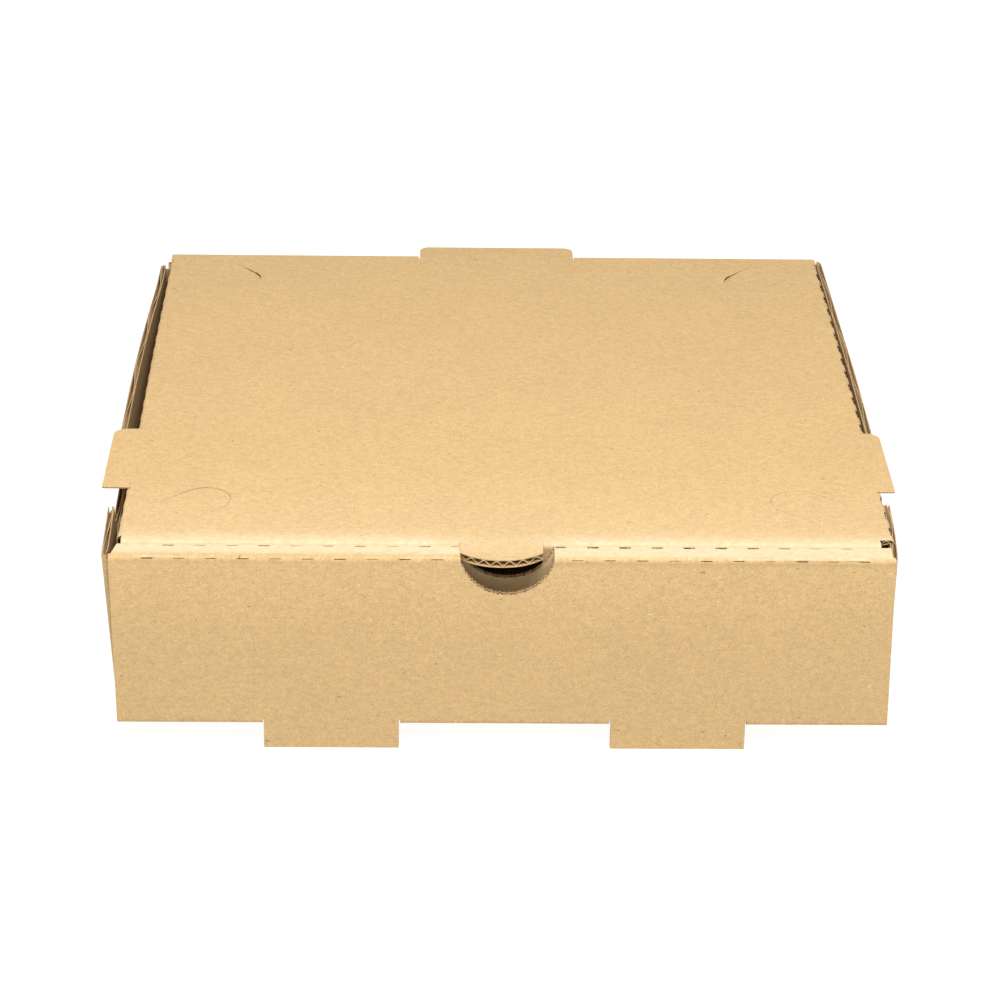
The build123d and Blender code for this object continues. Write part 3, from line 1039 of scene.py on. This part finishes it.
def mottle(graph, colour, pulp, grain, spread):
    """Tone of the paper, from its clouds, pulp and grain. The spread is the grain's."""
    clouds = graph.noise(CLOUDS, 3)
    share = 0.5
    for noise, part in ((clouds, CLOUD_PART), (pulp, PULP_PART), (grain, 1)):
        shift = graph.ramp(noise, 0.3, 0.7, -part * spread, part * spread)
        share = graph.maths("ADD", shift, share)
    return graph.mix(share, shade(colour, DARK), shade(colour, LIGHT))


def paint_light(graph, tone, colour, pulp):
    """Painted highlight, patchy, where the painted light is positive, and painted shade where it
    is negative.
    """
    painted_light = graph.attribute("painted_light").outputs["Fac"]
    highlight_share = graph.maths("MULTIPLY", painted_light, graph.ramp(pulp, *HIGHLIGHT_RAMP))
    tone = graph.mix(graph.maths("MAXIMUM", highlight_share, 0), tone, HIGHLIGHT_COLOUR)
    shade_share = graph.maths("MULTIPLY", painted_light, -0.8)
    return graph.mix(graph.maths("MAXIMUM", shade_share, 0), tone, shade(colour, SHADE_TONE))


def kraft(name, colour, contrast=1.0, pulp_scale=PULP):
    """Unbleached paper: cloudy pulp, crosswise grain, pale flecks and dark specks."""
    graph = Graph(name)
    pulp = graph.noise(pulp_scale, 2, 0.6)
    grain = graph.noise(GRAIN, 2, 0.7)
    tone = mottle(graph, colour, pulp, grain, GRAIN_SPREAD * contrast)
    flecks = graph.noise(FLECKS, 1, 0.4)
    tone = graph.mix(graph.ramp(flecks, *FLECK_RAMP), tone, shade(colour, FLECK_TONE))
    specks = graph.noise(SPECKS, 1, 0.4)
    tone = graph.mix(graph.ramp(specks, *SPECK_RAMP), tone, shade(colour, SPECK_TONE))
    graph.put(graph.shader, "Base Color", paint_light(graph, tone, colour, pulp))
    ridges = graph.maths("MULTIPLY", flute_wave(graph), FLUTE_BUMP)
    height = graph.maths("ADD", graph.maths("ADD", grain, pulp), ridges)
    bump = graph.node("ShaderNodeBump", Strength=BUMP, Distance=BUMP_HEIGHT * MM, Height=height)
    graph.put(graph.shader, "Normal", bump.outputs[0])
    graph.put(graph.shader, "Roughness", 0.75)
    graph.put(graph.shader, "Specular IOR Level", 0.3)
    return graph.material


LINER_PAPER = kraft("kraft_liner", (0.565, 0.380, 0.175, 1))
MEDIUM_PAPER = kraft("kraft_medium", (0.36, 0.225, 0.115, 1), 1.4)
CUT_PAPER = kraft("kraft_cut_edge", (0.46, 0.31, 0.16, 1), 3.5, CUT_FIBRES)
LINER_SLOT, MEDIUM_SLOT, CUT_SLOT = range(3)


# Pieces

def flat_board(layers, lines):
    """The board's three sheets, flat: each one's points, its faces below, above and round the
    rim, which points are on a tab, and its material slot."""
    us, vs, flute_vs = lines
    flat = cut_out(layers, us, vs)
    first, last = us[0] - FLUTE_SKEW * vs[-1], us[-1] - FLUTE_SKEW * vs[0]
    flutes = grid_lines(first, last, FLUTE / FLUTE_STEPS)
    fluted = cut_out(layers, flutes, flute_vs, FLUTE_SKEW)
    phase = (fluted[0][:, 0] - FLUTE_SKEW * fluted[0][:, 1]) / FLUTE
    middle = MID - LINER / 2
    swing = MID - LINER - MEDIUM / 2
    sheets = []
    for (points, faces, kinds), height, thickness, slot in (
        (flat, -middle, LINER, LINER_SLOT),
        (flat, middle, LINER, LINER_SLOT),
        (fluted, swing * np.sin(2 * pi * phase), MEDIUM, MEDIUM_SLOT),
    ):
        heights = np.broadcast_to(height, len(points))
        solid = thicken(points, faces, heights - thickness / 2, heights + thickness / 2)
        on_tab = np.zeros(len(points), bool)
        on_tab[faces[kinds == TAB]] = True
        sheets.append((*solid, np.tile(on_tab, 2), slot))
    return sheets


def papered(sheets):
    """Faces of all the sheets together, and each face's material slot."""
    faces, slots, start = [], [], 0
    for solid, under, over, rim, on_tab, slot in sheets:
        rim_slots = np.where(on_tab[rim].all(1), LINER_SLOT, CUT_SLOT)
        for part, paper in ((under, slot), (over, slot), (rim, rim_slots)):
            faces += (part + start).tolist()
            slots += np.broadcast_to(paper, len(part)).tolist()
        start += len(solid)
    return faces, slots


def board(name, body, layers, lines, fold, settle=None):
    """Makes a piece of corrugated board: two liners with the fluted paper between them."""
    sheets = flat_board(layers, lines)
    flats = np.concatenate([sheet[0] for sheet in sheets])
    tabs = np.concatenate([sheet[4] for sheet in sheets])
    places, painted_light = fold(*flats.T, tabs)
    if settle:
        places = settle(places, flats)
    faces, slots = papered(sheets)
    mesh = bpy.data.meshes.new(name)
    mesh.from_pydata((places * MM).tolist(), [], faces)
    for paper in (LINER_PAPER, MEDIUM_PAPER, CUT_PAPER):
        mesh.materials.append(paper)
    mesh.polygons.foreach_set("material_index", slots)
    mesh.polygons.foreach_set("use_smooth", [True] * len(faces))
    mesh.set_sharp_from_angle(angle=radians(45))
    blank = mesh.attributes.new("blank", "FLOAT_VECTOR", "POINT")
    blank.data.foreach_set("vector", (flats * MM).ravel())
    # Painted highlight and painted shade, which the paper's colour takes
    painted_light_at = mesh.attributes.new("painted_light", "FLOAT", "POINT")
    painted_light_at.data.foreach_set("value", painted_light)
    piece = bpy.data.objects.new(name, mesh)
    bpy.context.scene.collection.objects.link(piece)
    if body:
        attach(piece, body)
    return piece


def tray_lines():
    """Mesh lines of the tray: its liners' across and along, and its fluted paper's along."""
    top = wall_u(WALL_TOP)
    near_top = [side * (top - below) for side in (-1, 1) for below in (0, 0.6)]
    us = grid_lines(-top, top, GRID, TRAY_WIDTH.lines() + near_top)
    low = min(inner_v(LOCK_TIP), WALL_LENGTH.flat(0, 0))
    high = max(rear_v(HEIGHT), WALL_LENGTH.flat(2, EAR_REACH))
    folds = TRAY_LENGTH.lines() + WALL_LENGTH.lines()
    flute_folds = TRAY_LENGTH.lines(*FLUTE_FOLD) + WALL_LENGTH.lines(*FLUTE_FOLD)
    flute_vs = grid_lines(low, high, FLUTE_GRID, flute_folds)
    return us, grid_lines(low, high, GRID, folds), flute_vs


def lid_lines():
    """Mesh lines of the lid, across and along, and again along for its fluted paper."""
    us = grid_lines(-flap_u(FLAP_FOOT), flap_u(FLAP_FOOT), GRID, LID_WIDTH.lines())
    vs = grid_lines(flap_v(FLAP_FOOT), LID_HIGH[1], GRID, LID_LENGTH.lines())
    return us, vs, vs


def hinge_lines():
    """Mesh lines of the hinge's crease, as the lid's."""
    us = grid_lines(-HALF, HALF, GRID)
    end = HINGE_LENGTH.flat(1, HINGE_EDGE - MID)
    vs = grid_lines(REAR - HINGE_EDGE, end, HINGE_GRID, HINGE_LENGTH.lines(10))
    return us, vs, vs


tray = board("tray_board", "tray", tray_blank(), tray_lines(), fold_tray, settle_tray)
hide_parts("tray")
lid = board("lid_board", "lid", lid_blank(), lid_lines(), fold_lid, settle_lid)
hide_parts("lid")
hinge = board("hinge_crease", None, hinge_blank(), hinge_lines(), fold_hinge)
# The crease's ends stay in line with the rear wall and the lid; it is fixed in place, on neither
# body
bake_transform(hinge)


# Stage, lights and camera

def floor():
    """Pale table under the box's feet and the rear edge of its bottom."""
    mesh = bpy.data.meshes.new("floor")
    half = 30.0
    corners = [(u, v, 0) for u, v in rectangle(-half, half, -half, half)]
    mesh.from_pydata(corners, [], [(0, 1, 2, 3)])
    piece = bpy.data.objects.new("floor", mesh)
    bpy.context.scene.collection.objects.link(piece)
    tilt = atan(-FOOT_TIP / (REAR - FRONT))
    piece.rotation_euler = (tilt, 0, 0)
    piece.location = (0, REAR * MM, -0.0001)
    graph = Graph("floor_paint")
    graph.put(graph.shader, "Base Color", (0.2, 0.2, 0.2, 1))
    graph.put(graph.shader, "Roughness", 0.9)
    graph.put(graph.shader, "Emission Color", (1, 1, 1, 1))
    graph.put(graph.shader, "Emission Strength", 0.9)
    mesh.materials.append(graph.material)


def light(name, place, aim, size, power, colour=(1, 1, 1)):
    """A soft box of this width and height at a place, aimed at a point."""
    lamp = bpy.data.lights.new(name, "AREA")
    lamp.shape = "RECTANGLE"
    lamp.size, lamp.size_y = size
    lamp.energy = power
    lamp.color = colour
    piece = bpy.data.objects.new(name, lamp)
    piece.location = place
    piece.rotation_euler = (Vector(aim) - Vector(place)).to_track_quat("-Z", "Y").to_euler()
    bpy.context.scene.collection.objects.link(piece)


def camera():
    """The photograph's viewpoint: in front, above, and turned and rolled a little."""
    place = (-0.0203, -0.83975, 0.4218)
    turn, dip, roll = radians(1.477), radians(25.86), radians(1.01)
    right = Vector((cos(turn), -sin(turn), 0))
    ahead = Vector((sin(turn) * cos(dip), cos(turn) * cos(dip), -sin(dip)))
    up = right.cross(ahead)
    rolled_right = right * cos(roll) + up * sin(roll)
    rolled_up = up * cos(roll) - right * sin(roll)
    lens = bpy.data.cameras.new("camera")
    lens.lens = 113.9
    lens.sensor_width = 36
    lens.clip_start = 0.01
    piece = bpy.data.objects.new("camera", lens)
    axes = Matrix((rolled_right, rolled_up, -ahead)).transposed().to_4x4()
    piece.matrix_world = Matrix.Translation(place) @ axes
    bpy.context.scene.collection.objects.link(piece)
    bpy.context.scene.camera = piece


def world():
    """Even white light from all round."""
    made = bpy.data.worlds.new("studio")
    made.use_nodes = True
    made.node_tree.nodes["Background"].inputs["Color"].default_value = (1, 1, 1, 1)
    made.node_tree.nodes["Background"].inputs["Strength"].default_value = 0.5
    bpy.context.scene.world = made


floor()
world()
light("key", (0, -0.40, 0.75), (0, -0.08, 0.05), (0.5, 0.35), 7.7)
light("fill", (0, -1.2, 0.55), (0, -0.1, 0.04), (0.5, 0.3), 0.85, (1, 0.95, 0.84))
camera()
bpy.context.scene.view_settings.view_transform = "Standard"
